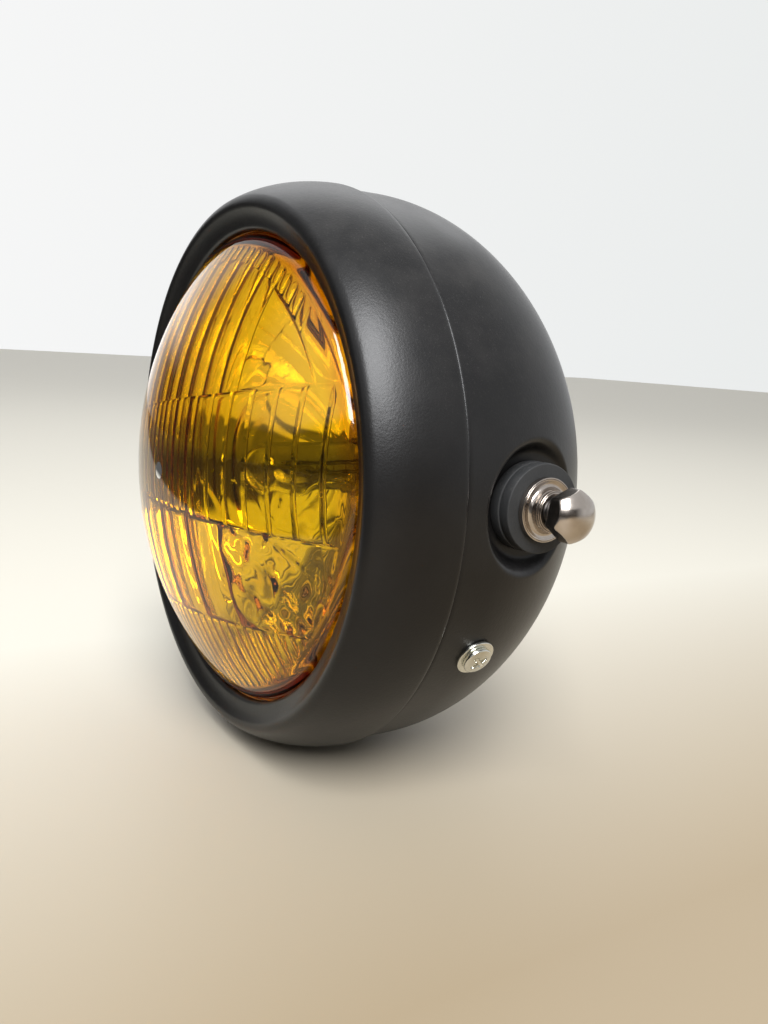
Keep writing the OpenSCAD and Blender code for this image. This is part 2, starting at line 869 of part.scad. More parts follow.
module inner_rubber(side) {
    color("#3a3c3e")
        on_bolt_axis(side)
            tube(rubber_r, bolt_hole_r, pad_x, outer_rubber_x);
}

module nut_plate(side) {
    color("#9a9da1")
        on_bolt_axis(side)
            difference() {
                translate([-plate_w / 2, -plate_w / 2, plate_x])
                    cube([plate_w, plate_w, plate_t]);
                disc(bolt_hole_r, plate_x - 1, plate_x + plate_t + 1);
            }
}

module mount_nut(side) {
    color("#c4c7ca")
        on_bolt_axis(side)
            difference() {
                hexagon(bolt_flats, plate_x - nut_h, plate_x);
                disc(bolt_r + thread_gap, plate_x - nut_h - 1, plate_x + 1);
            }
}

bucket_shell();
trim_ring();
lens();
lens_gasket();
reflector();
unit_clips();
ring_hook();
bulb_glass();
bulb_filaments();
bulb_shield();
bulb_base();
bulb_terminals();
bulb_clip();
dust_boot();
bulb_connector();
wiring_grommet();
side_bolt(LEFT);  // side_bolt_left
side_bolt(RIGHT);  // side_bolt_right
bolt_collar(LEFT);  // bolt_collar_left
bolt_collar(RIGHT);  // bolt_collar_right
outer_rubber(LEFT);  // outer_rubber_left
outer_rubber(RIGHT);  // outer_rubber_right
inner_rubber(LEFT);  // inner_rubber_left
inner_rubber(RIGHT);  // inner_rubber_right
nut_plate(LEFT);  // nut_plate_left
nut_plate(RIGHT);  // nut_plate_right
mount_nut(LEFT);  // mount_nut_left
mount_nut(RIGHT);  // mount_nut_right
ring_screw(LEFT);  // ring_screw_left
ring_screw(RIGHT);  // ring_screw_right
ring_washer(LEFT);  // ring_washer_left
ring_washer(RIGHT);  // ring_washer_right
ring_bracket(LEFT);  // ring_bracket_left
ring_bracket(RIGHT);  // ring_bracket_right
ring_nut(LEFT);  // ring_nut_left
ring_nut(RIGHT);  // ring_nut_right
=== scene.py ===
import math

import bpy
import numpy as np
from mathutils import Matrix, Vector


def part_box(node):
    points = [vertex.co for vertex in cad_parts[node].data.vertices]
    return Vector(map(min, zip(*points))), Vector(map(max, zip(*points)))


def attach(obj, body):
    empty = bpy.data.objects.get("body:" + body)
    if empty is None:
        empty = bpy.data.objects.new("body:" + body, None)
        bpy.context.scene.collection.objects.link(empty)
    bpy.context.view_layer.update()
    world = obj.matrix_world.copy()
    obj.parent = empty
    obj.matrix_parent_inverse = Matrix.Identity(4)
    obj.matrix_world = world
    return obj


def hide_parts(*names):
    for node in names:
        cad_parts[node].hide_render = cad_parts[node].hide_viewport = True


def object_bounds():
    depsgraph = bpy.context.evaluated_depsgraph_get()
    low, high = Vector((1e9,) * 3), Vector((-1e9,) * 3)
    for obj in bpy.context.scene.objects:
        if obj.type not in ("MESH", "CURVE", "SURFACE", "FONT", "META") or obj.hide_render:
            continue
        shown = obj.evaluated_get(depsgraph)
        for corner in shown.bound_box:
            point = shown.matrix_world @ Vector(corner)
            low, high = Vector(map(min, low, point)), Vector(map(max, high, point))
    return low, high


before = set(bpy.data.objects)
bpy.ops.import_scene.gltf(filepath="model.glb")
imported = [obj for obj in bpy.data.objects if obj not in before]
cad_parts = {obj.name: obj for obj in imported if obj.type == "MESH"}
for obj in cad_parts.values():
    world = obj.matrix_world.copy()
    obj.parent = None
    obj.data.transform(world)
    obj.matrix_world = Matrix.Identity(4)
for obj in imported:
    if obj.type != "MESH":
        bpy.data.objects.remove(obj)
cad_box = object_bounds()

# Sizes are in millimetres, as in the part's source, and become metres in the meshes.
# A station counts back along Y from the seam between the trim ring and the bucket.
MM = 0.001
LEFT, RIGHT = 1, -1
SEAM_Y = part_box("trim_ring")[1].y / MM
FLOOR_Z = cad_box[0].z / MM

# Trim ring: the crown is an ellipse, then come the crease, the bevel and the lip
RING_R, RING_WALL, CROWN_LEN, CROWN_RISE = 90.0, 1.0, 33.4, 20.4
CROWN_FROM, CROWN_TO = -1.7, -24.3
CREASE_R, CREASE_S, CREASE_ROUND = 81.86, -26.7, 2.4
OPENING_R, LIP_S, LIP_ROUND, LIP_END = 73.2, -23.1, 1.3, -21.5
BEVEL_OUT, BEVEL_SWELL = (0.384, 0.923), 0.25
RIB_R, RIB_FRONT, RIB_BACK = 85.85, -7.0, -6.0

# Bucket: a lip inside the ring, a step at the seam, a straight band and the bowl
BUCKET_R, BUCKET_WALL, BUCKET_BAND = 88.9, 1.2, 12.0
LIP_R, STEP_S, SHOULDER_S = 88.27, 0.3, 1.7
SIDE_FROM, SIDE_TO = 1.9, 53.5
BOWL_LEN, BOWL_POWER, BACK_R, BACK_S = 74.676, 1.11, 14.0, 85.33
GROMMET_HOLE_R = 9.0

# The pressed recess round each side bolt, out from the bolt's axis
BOLT_S, PAD_X, RECESS_FLOOR_R, RECESS_FLARE = 27.6, 80.03, 14.8, 6.2
BRINK_R, BRINK_SLOPE, BRINK_ROUND, RECESS_REACH = 19.8, 1.6, 2.8, 40

# Lens: the dome and the disc of flutes inside it are spheres about one centre
DOME_R, DOME_S, LENS_WALL = 115.0, 65.8, 4.0
INNER_R = DOME_R - LENS_WALL
DISC_R, CAVITY_R, SHOULDER_R, SKIRT_R, FLANGE_R = 67.0, 68.9, 69.3, 72.8, 77.5
FLANGE_FRONT, FLANGE_BACK = -20.3, -17.3
LENS_TURN = math.radians(4)
# Radii over which the lens goes over to a deeper orange: a painted glow standing in for light
# carried through the thick rim glass
PAINTED_GLOW_FROM, PAINTED_GLOW_TO = 66.8, 70.5

# Flute zones, the foot first: the pitch of the flutes, the place of one ridge, their
# height, the rows of points, and the height of the fine ridge along the zone's lines
LOWER, MIDDLE, UPPER, TOP = range(1, 5)
ZONES = [(3.9, 1.0, 0.75, 22, 0.35), (16.4, 11.0, 1.5, 26, 0.35), (7.5, 24.4, 0.7, 26, 0.35),
         (7.4, 33.3, 0.9, 28, 0.12), (3.7, 33.3, 0.8, 12, 0.12)]
# The lines between them, by height on the axis and slope, and the arc under the top zone
ZONE_LINES = [(-42.4, -0.022), (-10.24, -0.094), (20.6, 0.086)]
TOP_ARC_R = 62.2

# Reflector and bulb
MOUTH_R, FOCAL, VERTEX_S, NECK_S, SEAT_S = 70.5, 26.1, 31.11, 28.0, 34.01
BULB_HOLE_R, SOCKET_R, SOCKET_END, REFLECTOR_WALL = 18.0, 21.9, 41.0, 0.8
BULB_R, BULB_LEN = 8.5, 54

# Side mounting and ring screw, out along their own axes
OUTER_RUBBER_X, COLLAR_X, HEAD_X = 83.53, 87.03, 95.63
BORE_R, RUBBER_R, RUBBER_THICK = 4.4, 12.45, 3.5
SCREW_S, SCREW_ANGLE, WASHER_X, WASHER_THICK = 15.0, math.radians(28.7), 88.89, 1


# Surfaces

def grid_faces(rows, cols, round_rows=False, round_cols=True):
    """Corner numbers of the four-sided faces of a grid, closed round its rows or columns."""
    i = np.arange(rows if round_rows else rows - 1)[:, None]
    j = np.arange(cols if round_cols else cols - 1)[None, :]
    i2, j2 = (i + 1) % rows, (j + 1) % cols
    corners = [i * cols + j, i * cols + j2, i2 * cols + j2, i2 * cols + j]
    return np.stack(corners, -1).reshape(-1, 4)


def fan_faces(pole, row):
    """Triangles from one point to a closed row of points."""
    return np.stack([np.full(len(row), pole), row, np.roll(row, -1)], -1)


def bend(a, b, c, n):
    """The curve (1-t)^2 a + 2t(1-t) b + t^2 c from a to c, drawn towards the corner b."""
    t = np.linspace(0, 1, n)[:, None]
    a, b, c = (np.asarray(p, float) for p in (a, b, c))
    return (1 - t) ** 2 * a + 2 * t * (1 - t) * b + t ** 2 * c


def soft_outline(corners, radii, steps=5):
    """A closed outline with each corner rounded by the curve of bend, which starts and ends
    at the corner's radius from it."""
    b = np.asarray(corners, float)
    r = np.broadcast_to(np.asarray(radii, float), len(b))[:, None]
    before, after = np.roll(b, 1, 0) - b, np.roll(b, -1, 0) - b
    a = b + before / np.linalg.norm(before, axis=1, keepdims=True) * r
    c = b + after / np.linalg.norm(after, axis=1, keepdims=True) * r
    t = np.linspace(0, 1, steps)[None, :, None]
    curve = (1 - t) ** 2 * a[:, None] + 2 * t * (1 - t) * b[:, None] + t ** 2 * c[:, None]
    return curve.reshape(-1, 2)


def round_axis(outline, angles):
    """Points (radius cos a, height, radius sin a) of each [radius, height] at each angle."""
    return np.stack([np.outer(outline[:, 0], np.cos(angles)),
                     np.repeat(outline[:, 1:], len(angles), 1),
                     np.outer(outline[:, 0], np.sin(angles))], -1)


def full_turn(columns):
    """Equal angles all round."""
    return np.arange(columns) * 2 * np.pi / columns


def looped(grid):
    """A grid of rings with its last ring joined to its first."""
    return grid.reshape(-1, 3), [grid_faces(*grid.shape[:2], round_rows=True)]


def between_poles(grid, first_h, last_h):
    """A grid of rings closed by two points on the axis, one for its first ring and one for
    its last."""
    rows, columns = grid.shape[:2]
    ring = np.arange(columns)
    points = np.concatenate([grid.reshape(-1, 3), [[0, first_h, 0], [0, last_h, 0]]])
    return points, [grid_faces(rows, columns), fan_faces(rows * columns, ring)[:, ::-1],
                    fan_faces(rows * columns + 1, (rows - 1) * columns + ring)]


def turned(outline, columns=128):
    """A surface of revolution. An outline from axis to axis gets its two poles; any other
    is a closed loop."""
    angles = full_turn(columns)
    if outline[0, 0] == 0 and outline[-1, 0] == 0:
        return between_poles(round_axis(outline[1:-1], angles), outline[0, 1], outline[-1, 1])
    return looped(round_axis(outline, angles))


def outward(points, faces):
    """Turns every face outwards: the sum of a . (b x c) over the triangles is six times
    the volume inside, and comes out positive when they face out."""
    volume = 0.0
    for f in faces:
        for k in range(1, f.shape[1] - 1):
            a, b, c = points[f[:, 0]], points[f[:, k]], points[f[:, k + 1]]
            volume += np.einsum("ij,ij->", a, np.cross(b, c))
    return points, faces if volume > 0 else [f[:, ::-1] for f in faces]


def moved(part, x_axis, h_axis, z_axis, origin):
    """A part in the frame whose axes and origin are given, with its faces outwards."""
    points = part[0] @ np.array([x_axis, h_axis, z_axis], float) + np.asarray(origin, float)
    return outward(points, part[1])


def on_optical_axis(part, turn=0.0):
    """A part whose heights are stations, turned on round the axis by an angle."""
    c, s = math.cos(turn), math.sin(turn)
    return moved(part, (c, 0, s), (0, 1, 0), (-s, 0, c), (0, SEAM_Y, 0))


def on_bolt_axis(part, side):
    """A part whose heights are distances out along a side bolt."""
    return moved(part, (0, 1, 0), (side, 0, 0), (0, 0, 1), (0, SEAM_Y + BOLT_S, 0))


def on_screw_axis(part, side):
    """A part whose heights are distances out along a ring screw, low at the side."""
    c, s = math.cos(SCREW_ANGLE), math.sin(SCREW_ANGLE)
    return moved(part, (0, 1, 0), (side * c, 0, -s), (side * s, 0, c),
                 (0, SEAM_Y + SCREW_S, 0))


def smooth_step(t):
    """0 up to t = 0, 1 from t = 1, and 3t^2 - 2t^3 between."""
    t = np.clip(t, 0, 1)
    return t * t * (3 - 2 * t)


def smooth_min(a, b, width):
    """The lesser of two heights, blended over a width where they are near each other."""
    h = np.clip(0.5 + 0.5 * (b - a) / width, 0, 1)
    return b + (a - b) * h - width * h * (1 - h)


# Trim ring

def ring_out(s):
    """Outside radius of the ring: an ellipse of half length CROWN_LEN about the seam."""
    return RING_R - CROWN_RISE * (1 - np.sqrt(1 - (s / CROWN_LEN) ** 2))


def trim_ring():
    """The crown, the rounded crease, the slightly swollen bevel and the lip, turned round
    the optical axis. The inside is the same path moved in by the sheet's thickness, with
    the return rib across it."""
    crease, lip = np.array([CREASE_R, CREASE_S]), np.array([OPENING_R, LIP_S])
    slope = (lip - crease) / np.linalg.norm(lip - crease)
    bevel_from, bevel_to = crease + CREASE_ROUND * slope, lip - LIP_ROUND * slope
    s = np.linspace(CROWN_FROM, CROWN_TO, 64)
    t = np.linspace(0, 1, 12)[1:-1, None]
    swell = np.array(BEVEL_OUT) * BEVEL_SWELL * np.sin(np.pi * t)
    outside = np.concatenate([
        bend((RING_R - 1.1, 0), (RING_R, 0), (ring_out(CROWN_FROM), CROWN_FROM), 9)[:-1],
        np.stack([ring_out(s), s], -1),
        bend((ring_out(CROWN_TO), CROWN_TO), crease, bevel_from, 14)[1:],
        bevel_from * (1 - t) + bevel_to * t + swell,
        bend(bevel_to, lip, (OPENING_R, LIP_S + 1.2), 10),
        [[OPENING_R, LIP_END]]])
    along = np.gradient(outside, axis=0)
    along /= np.linalg.norm(along, axis=1, keepdims=True)
    inside = outside + RING_WALL * np.stack([along[:, 1], -along[:, 0]], -1)
    inside = inside[::-1][1:-2:2]
    front, back = inside[inside[:, 1] < RIB_FRONT - 0.2], inside[inside[:, 1] > RIB_BACK + 0.2]
    in_r = float(ring_out(RIB_FRONT)) - RING_WALL
    rib = np.array([[in_r, RIB_FRONT], [RIB_R, RIB_FRONT], [RIB_R, RIB_BACK], [in_r, RIB_BACK]])
    rear = [[RING_R - 1.05, -0.3]]
    return turned(np.concatenate([outside, front, rib, back, rear]), 288)


# Bucket

def bowl_point(angle):
    """[radius, station] of the bowl: radius R cos(angle)^p at band + length sin(angle)."""
    return np.stack([BUCKET_R * np.cos(angle) ** BOWL_POWER,
                     BUCKET_BAND + BOWL_LEN * np.sin(angle)], -1)


def bucket_outline():
    """The mouth up to the shoulder behind the seam, and the whole outline back from it,
    with close stations along the sides, where the recesses are."""
    mouth = np.concatenate([
        [[LIP_R, -6], [LIP_R, -3], [LIP_R, STEP_S]],
        bend((LIP_R + 0.1, STEP_S), (BUCKET_R, STEP_S), (BUCKET_R, SHOULDER_S), 5)])
    s = np.linspace(SIDE_FROM, SIDE_TO, 104)
    band = np.stack([np.full_like(s, BUCKET_R), s], -1)
    bowl = bowl_point(np.arcsin(np.clip((s - BUCKET_BAND) / BOWL_LEN, 0, 1)))
    sides_end = math.asin((SIDE_TO + 0.5 - BUCKET_BAND) / BOWL_LEN)
    back = math.acos((BACK_R / BUCKET_R) ** (1 / BOWL_POWER))
    return mouth, np.concatenate([
        mouth, np.where(s[:, None] <= BUCKET_BAND, band, bowl),
        bowl_point(np.linspace(sides_end, back, 30)),
        bend((13.6, BACK_S), (12, BACK_S + 0.02), (10.5, BACK_S), 3),
        [[GROMMET_HOLE_R, BACK_S]]])


def pressed(points):
    """Pushes the bowl's sides in to the recesses. Round each bolt axis the dish has a flat
    floor, then an S-shaped wall that goes on up at a slope, and the bowl is the lesser of
    its own height along X and the dish's, with the brink rounded."""
    x, s, z = points[..., 0], points[..., 1], points[..., 2]
    out = np.hypot(s - BOLT_S, z)
    rise = BUCKET_R + 0.3 - PAD_X
    wall = (out - RECESS_FLOOR_R) / RECESS_FLARE
    dish = PAD_X + rise * smooth_step(wall) + BRINK_SLOPE * np.maximum(out - BRINK_R, 0)
    pushed = np.where(out < RECESS_REACH, smooth_min(np.abs(x), dish, BRINK_ROUND), np.abs(x))
    pushed = np.minimum(pushed, np.abs(x))
    return np.stack([np.where(np.abs(x) > 30, np.sign(x) * pushed, x), s, z], -1)


def thinner(points, radius):
    """Points moved in towards the optical axis by the bucket's wall."""
    k = 1 - BUCKET_WALL / radius
    return points * np.array([k, 1, k])


def bucket_shell():
    """The outline turned round the optical axis, with more columns at the sides, and then
    pressed in there. The inside is the same grid, thinned out, moved in along its normals."""
    mouth, outline = bucket_outline()
    t = full_turn(480)
    grid = pressed(round_axis(outline, t - 0.3 * np.sin(2 * t)))
    across = np.roll(grid, -1, 1) - np.roll(grid, 1, 1)
    normal = np.cross(across, np.gradient(grid, axis=0))
    normal /= np.maximum(np.linalg.norm(normal, axis=2, keepdims=True), 1e-9)
    from_middle = grid - np.array([0, 25.0, 0])
    normal *= np.sign(np.sum(normal * from_middle, 2, keepdims=True))
    n = len(mouth)
    hole_in = grid[-1:] - np.array([0, BUCKET_WALL, 0])
    inside = (grid - BUCKET_WALL * normal)[np.r_[len(grid) - 4:n:-4]]
    band_in = thinner(grid[n:n + 1], BUCKET_R) + np.array([0, 0.8, 0])
    lip_in = thinner(grid[[2, 1, 0]], LIP_R)
    step_in = lip_in[:1] + np.array([0, 1.3, 0])
    return looped(np.concatenate([grid, hole_in, inside, band_in, step_in, lip_in]))


# Lens

def zone_lines(u, reach):
    """Heights of the six rows that bound the flute zones at each u: the rim below, the
    three lines, the arc and the rim above, kept in order and a gap apart."""
    arc = np.sqrt(np.maximum(TOP_ARC_R ** 2 - u ** 2, 0))
    gap = 0.012 * reach
    rows = [-reach]
    for height, slope in ZONE_LINES:
        line = np.maximum(height + slope * u, rows[-1] + gap)
        rows.append(np.clip(line, -reach, reach - 4 * gap))
    rows.append(np.clip(np.maximum(arc, rows[-1] + gap), -reach, reach - gap))
    rows.append(reach)
    return rows


def scoop(u, pitch, start, height):
    """Flutes scooped side by side: with q = 2 d / pitch at a distance d from the middle of a
    flute, the glass left is height (0.25 q^2 + 0.75 q^6), so that the flute is nearly flat
    and a sharp ridge stands between two flutes."""
    d = (u - start) / pitch
    q = 2 * (d - np.floor(d) - 0.5)
    return height * (0.25 * q ** 2 + 0.75 * q ** 6)


def rib(u, pitch, start, height, width):
    """Narrow round-topped ribs: height sqrt(1 - (d / width)^2) at a distance d."""
    d = (u - start) / pitch
    d = (d - np.floor(d + 0.5)) * pitch
    return height * np.sqrt(np.clip(1 - (d / width) ** 2, 0, 1))


def swirl(u, v):
    """Shallow uneven dimples pressed in the plain glass, products and a sum of sines."""
    return (0.62 * np.sin(0.46 * u + 0.9) * np.sin(0.41 * v + 0.5)
            + 0.26 * np.sin(0.93 * u + 0.3 * v) * np.sin(0.78 * v - 0.2 * u + 1.0)
            + 0.10 * np.sin(0.31 * u - 0.47 * v))


def flute_height(zone, u, v):
    """Thickness added inside the dome: scooped flutes in all zones but the middle one, which
    has ribs with finer ones between them to the right. The lower and upper zones go over to
    plain dimpled glass towards the left, and the top's flutes end short of the rim."""
    pitch, start, height = ZONES[zone][:3]
    if zone == MIDDLE:
        fine = rib(u, pitch / 2, start, 0.45, 0.9) * (1 - smooth_step((u - 16) / 6))
        wave = smooth_step((u - 40) / 12) * smooth_step((6 - v) / 14)
        return np.maximum(rib(u, pitch, start, height, 0.65), fine) + 0.45 * wave * swirl(u, v)
    flutes = scoop(u, pitch, start, height)
    if zone == LOWER:
        plain = smooth_step((u - 20) / 18)
        return flutes * (1 - 0.8 * plain) + plain * swirl(u, v)
    if zone == UPPER:
        plain = smooth_step((u - 32.9) / 0.9)
        return flutes * (1 - plain) + 0.06 * plain * swirl(u, v)
    if zone == TOP:
        return flutes * (1 - smooth_step((np.abs(u) - 44) / 6))
    return flutes


def lens_disc():
    """The fluted inside: columns at u = -R cos a drawn towards the ridges, rows between the
    zone lines and drawn towards them, on a sphere LENS_WALL inside the dome, raised by the
    flutes and by a fine ridge along each line."""
    columns = 340
    base = -DISC_R * np.cos(np.pi * np.arange(1, columns) / columns)
    zones = []
    for zone, (pitch, start, _, rows, ridge) in enumerate(ZONES):
        pull = 0.55 * pitch / (2 * np.pi) * (1 - (base / DISC_R) ** 8)
        u = base - pull * np.sin(2 * np.pi * (base - start) / pitch)
        reach = np.sqrt(DISC_R ** 2 - u ** 2)
        lines = zone_lines(u, reach)
        t = np.linspace(0, 1, rows)[:, None]
        t = t - 0.8 * np.sin(2 * np.pi * t) / (2 * np.pi)
        v = lines[zone] + (lines[zone + 1] - lines[zone]) * t
        step = np.minimum(v - lines[zone] if zone else reach, lines[zone + 1] - v)
        u = np.broadcast_to(u, v.shape)
        r = np.hypot(u, v)
        height = flute_height(zone, u, v) + ridge * np.exp(-(step / 0.45) ** 2)
        height = height * smooth_step((DISC_R - 0.2 - r) / 1.2)
        zones.append(np.stack([u, DOME_S - np.sqrt(INNER_R ** 2 - r ** 2) + height, v], -1))
    return np.concatenate(zones)


def lens_edge(disc_s):
    """The outline from the disc's edge round the bend, the flange, the skirt and its flared
    front to the middle of the dome."""
    dome_s = DOME_S - math.sqrt(DOME_R ** 2 - SHOULDER_R ** 2)
    a = np.linspace(math.asin(SHOULDER_R / DOME_R), 0, 30)[:-1]
    return np.concatenate([
        bend((DISC_R, disc_s), (CAVITY_R, -21.4), (CAVITY_R, -17.7), 20)[1:-1],
        bend((CAVITY_R, -17.7), (CAVITY_R, FLANGE_BACK), (CAVITY_R + 0.5, FLANGE_BACK), 4),
        bend((FLANGE_R - 0.5, FLANGE_BACK), (FLANGE_R, FLANGE_BACK), (FLANGE_R, -17.8), 4),
        bend((FLANGE_R, -19.8), (FLANGE_R, FLANGE_FRONT), (FLANGE_R - 0.5, FLANGE_FRONT), 4),
        bend((SKIRT_R + 0.4, FLANGE_FRONT), (SKIRT_R, FLANGE_FRONT), (SKIRT_R, -20.6), 4),
        [[SKIRT_R, -20.9]],
        bend((72.5, -21.6), (71.9, -24.02), (SHOULDER_R, dome_s), 24)[:-1],
        np.stack([DOME_R * np.sin(a), DOME_S - DOME_R * np.cos(a)], -1)])


def lens():
    """A closed glass: the fluted disc with a point at its left and right tip, then its edge
    carried round at the angles of the points on the disc's rim, to the middle of the dome."""
    disc = lens_disc()
    rows, cols = disc.shape[:2]
    disc_s = DOME_S - math.sqrt(INNER_R ** 2 - DISC_R ** 2)
    tips = np.array([[-DISC_R, disc_s, 0], [DISC_R, disc_s, 0]])
    inner = np.concatenate([disc.reshape(-1, 3), tips])
    left, right = rows * cols, rows * cols + 1
    starts = np.arange(rows) * cols
    ends = starts + cols - 1
    rim = np.concatenate([[left], np.arange((rows - 1) * cols, rows * cols),
                          [right], np.arange(cols)[::-1]])
    edge = round_axis(lens_edge(disc_s), np.arctan2(inner[rim, 2], inner[rim, 0]))
    first, around = len(inner), len(rim)
    ring = first + np.arange(around)
    last = ring + (len(edge) - 1) * around
    faces = [grid_faces(rows, cols, round_cols=False),
             np.stack([np.full(rows - 1, left), starts[1:], starts[:-1]], -1),
             np.stack([np.full(rows - 1, right), ends[:-1], ends[1:]], -1),
             np.stack([rim, np.roll(rim, -1), np.roll(ring, -1), ring], -1),
             grid_faces(len(edge), around) + first,
             fan_faces(first + len(edge) * around, last)[:, ::-1]]
    middle = np.array([[0, DOME_S - DOME_R, 0]])
    return np.concatenate([inner, edge.reshape(-1, 3), middle]), faces


# Reflector and bulb

def reflector():
    """The paraboloid s = vertex - r^2 / (4 focal), its flat flange in front, and the neck
    and socket for the bulb behind."""
    r = np.linspace(MOUTH_R, BULB_HOLE_R, 72)
    bowl = np.stack([r, VERTEX_S - r ** 2 / (4 * FOCAL)], -1)
    steep = np.stack([r / (2 * FOCAL), np.ones_like(r)], -1)
    steep /= np.linalg.norm(steep, axis=1, keepdims=True)
    back = (bowl + REFLECTOR_WALL * steep)[::-3]
    back = back[(back[:, 0] > 19.2) & (back[:, 1] > FLANGE_BACK + 1)]
    neck_r, cup_r, cup_s = BULB_HOLE_R + 0.8, SOCKET_R + 1.2, SEAT_S - 1.2
    return turned(np.concatenate([
        [[FLANGE_R, FLANGE_BACK]], bowl,
        [[BULB_HOLE_R, 30], [BULB_HOLE_R, SEAT_S - 0.1], [BULB_HOLE_R + 0.1, SEAT_S],
         [SOCKET_R, SEAT_S], [SOCKET_R, SOCKET_END], [cup_r, SOCKET_END], [cup_r, cup_s],
         [neck_r, cup_s], [neck_r, NECK_S + 0.7]],
        back, [[72.0, FLANGE_BACK + REFLECTOR_WALL],
               [FLANGE_R, FLANGE_BACK + REFLECTOR_WALL]]]), 192)


def bulb_glass():
    """A thin tube with one round end, its wall 1 mm inside the same outline."""
    tip, end, inner_r = SEAT_S - BULB_LEN, SEAT_S - 1, BULB_R - 1
    a = np.linspace(0, np.pi / 2, 18)
    outer = np.stack([BULB_R * np.sin(a), tip + BULB_R - BULB_R * np.cos(a)], -1)
    inner = np.stack([inner_r * np.sin(a), tip + BULB_R - inner_r * np.cos(a)], -1)[::-1]
    outer[0, 0] = inner[-1, 0] = 0
    mouth = bend((BULB_R, end - 0.4), (BULB_R - 0.5, end + 0.4), (inner_r, end - 0.4), 7)
    return turned(np.concatenate([outer, [[BULB_R, 0]], mouth, [[inner_r, 0]], inner]), 96)


# Side mounting

def rubber_washer(low, forward=0.0):
    """A washer with rounded edges and a slightly barrelled rim, a little off its bolt."""
    high = low + RUBBER_THICK
    corners = [[BORE_R, low], [RUBBER_R, low], [RUBBER_R + 0.15, (low + high) / 2],
               [RUBBER_R, high], [BORE_R, high]]
    points, faces = turned(soft_outline(corners, [0.3, 0.35, 0.8, 0.35, 0.3]), 112)
    return points - np.array([forward, 0, 0]), faces


def bolt_collar():
    """A thin double rim, a wide hollow that sweeps up to the hub, and the hub with a fine
    groove round its mouth."""
    rim = soft_outline([[BORE_R, 0], [8.9, 0], [8.9, 1.85], [8.62, 1.95], [8.5, 1.7],
                        [8.36, 1.95], [8.1, 1.9]], [0.2, 0.3, 0.1, 0.08, 0.07, 0.08, 0.1])
    hollow = bend((8.0, 1.82), (6.3, 0.75), (5.85, 3.4), 18)
    hub = soft_outline([[5.8, 3.6], [5.72, 4.55], [5.5, 4.6], [5.42, 4.4], [5.34, 4.95],
                        [4.9, 5.05], [BORE_R, 5.0]],
                       [0.1, 0.12, 0.08, 0.08, 0.12, 0.1, 0.15])
    return turned(np.concatenate([rim, hollow, hub]) + np.array([0, COLLAR_X]))


def bolt_head():
    """A hexagon under a dome. Along each ray from a point inside, the distances to the six
    flats, the flat under the head and the dome combine as (sum d^-p)^(-1/p), which rounds
    the edges between them."""
    apothem, height, dome_height, p = 6.5, 7.5, 4.2, 26.0
    hex_r = apothem / math.cos(math.pi / 6)
    dome_r = (hex_r ** 2 + dome_height ** 2) / (2 * dome_height)
    apex, middle = HEAD_X + height, HEAD_X + 2.6
    rise, a = np.linspace(0, np.pi, 97)[1:-1, None], full_turn(144)[None, :]
    ray = np.stack([np.sin(rise) * np.cos(a), -np.cos(rise) + 0 * a,
                    np.sin(rise) * np.sin(a)], -1)
    flats = np.arange(6) * np.pi / 3 - math.radians(9)
    toward = np.stack([np.cos(flats), 0 * flats, np.sin(flats)], -1)
    speed = np.maximum(np.einsum("ijk,fk->fij", ray, toward), 1e-6)
    near = (speed / apothem) ** p
    under = np.maximum(-ray[..., 1], 1e-6) / (middle - HEAD_X)
    lift = middle - (apex - dome_r)
    dome = -lift * ray[..., 1] + np.sqrt((lift * ray[..., 1]) ** 2 + dome_r ** 2 - lift ** 2)
    reach = (near.sum(0) + under ** p + (1 / dome) ** (2 * p)) ** (-1 / p)
    reach = np.minimum(reach, dome)
    return between_poles(ray * reach[..., None] + np.array([0, middle, 0]), HEAD_X, apex)


def bolt_shank():
    """A screw thread: at height h and angle a the radius is R less a wave of h / lead less
    a turn for each full angle."""
    low, high, lead = HEAD_X - 30, HEAD_X + 0.3, 1.25
    h, a = np.linspace(low, high, 190)[:, None], full_turn(48)[None, :]
    wave = 0.5 + 0.5 * np.cos(2 * np.pi * h / lead - a)
    r = 3.98 - 0.45 * wave ** 1.3 - 0.5 * (1 - smooth_step((h - low) / 1.5))
    return between_poles(np.stack([r * np.cos(a), h + 0 * a, r * np.sin(a)], -1), low, high)


# Ring fixing

def screw_head():
    """A pan head with a cross recess: a shallow sphere over a rounded side, less two
    crossed grooves that fade at their ends, and the plain shank under it."""
    under, r_head, height, recess = WASHER_X + WASHER_THICK, 4.3, 2.2, 1.75
    crown = (r_head ** 2 + height ** 2) / height
    ball = under + height - crown
    a = full_turn(120)[None, :]
    r = (r_head - 0.35) * np.linspace(0, 1, 44)[1:, None]
    x, z = r * np.cos(a - np.pi / 4), r * np.sin(a - np.pi / 4)
    arm = np.exp(-(x / 0.65) ** 6 - (z / 2.6) ** 8)
    other = np.exp(-(z / 0.65) ** 6 - (x / 2.6) ** 8)
    h = ball + np.sqrt(crown ** 2 - r ** 2) - np.maximum(arm, other) * (recess - 0.3 * r)
    top = np.stack([r * np.cos(a), h, r * np.sin(a)], -1)
    edge_h = ball + math.sqrt(crown ** 2 - (r_head - 0.35) ** 2)
    side = np.concatenate([
        bend((r_head - 0.3, edge_h - 0.02), (r_head, edge_h - 0.16), (r_head, edge_h - 0.5), 5),
        bend((r_head, under + 0.3), (r_head, under), (r_head - 0.3, under), 4),
        [[2.5, under], [2.5, under - 12.6], [1.7, under - 13.9]]])
    grid = np.concatenate([top, round_axis(side, a[0])])
    return between_poles(grid, ball + crown - recess, under - 14)


def ring_washer():
    """A flat washer with soft edges, the one round the screw's head the softest."""
    high = WASHER_X + WASHER_THICK
    corners = [[2.7, WASHER_X], [5.8, WASHER_X], [5.8, high], [2.7, high]]
    return turned(soft_outline(corners, [0.15, 0.2, 0.3, 0.15]), 96)


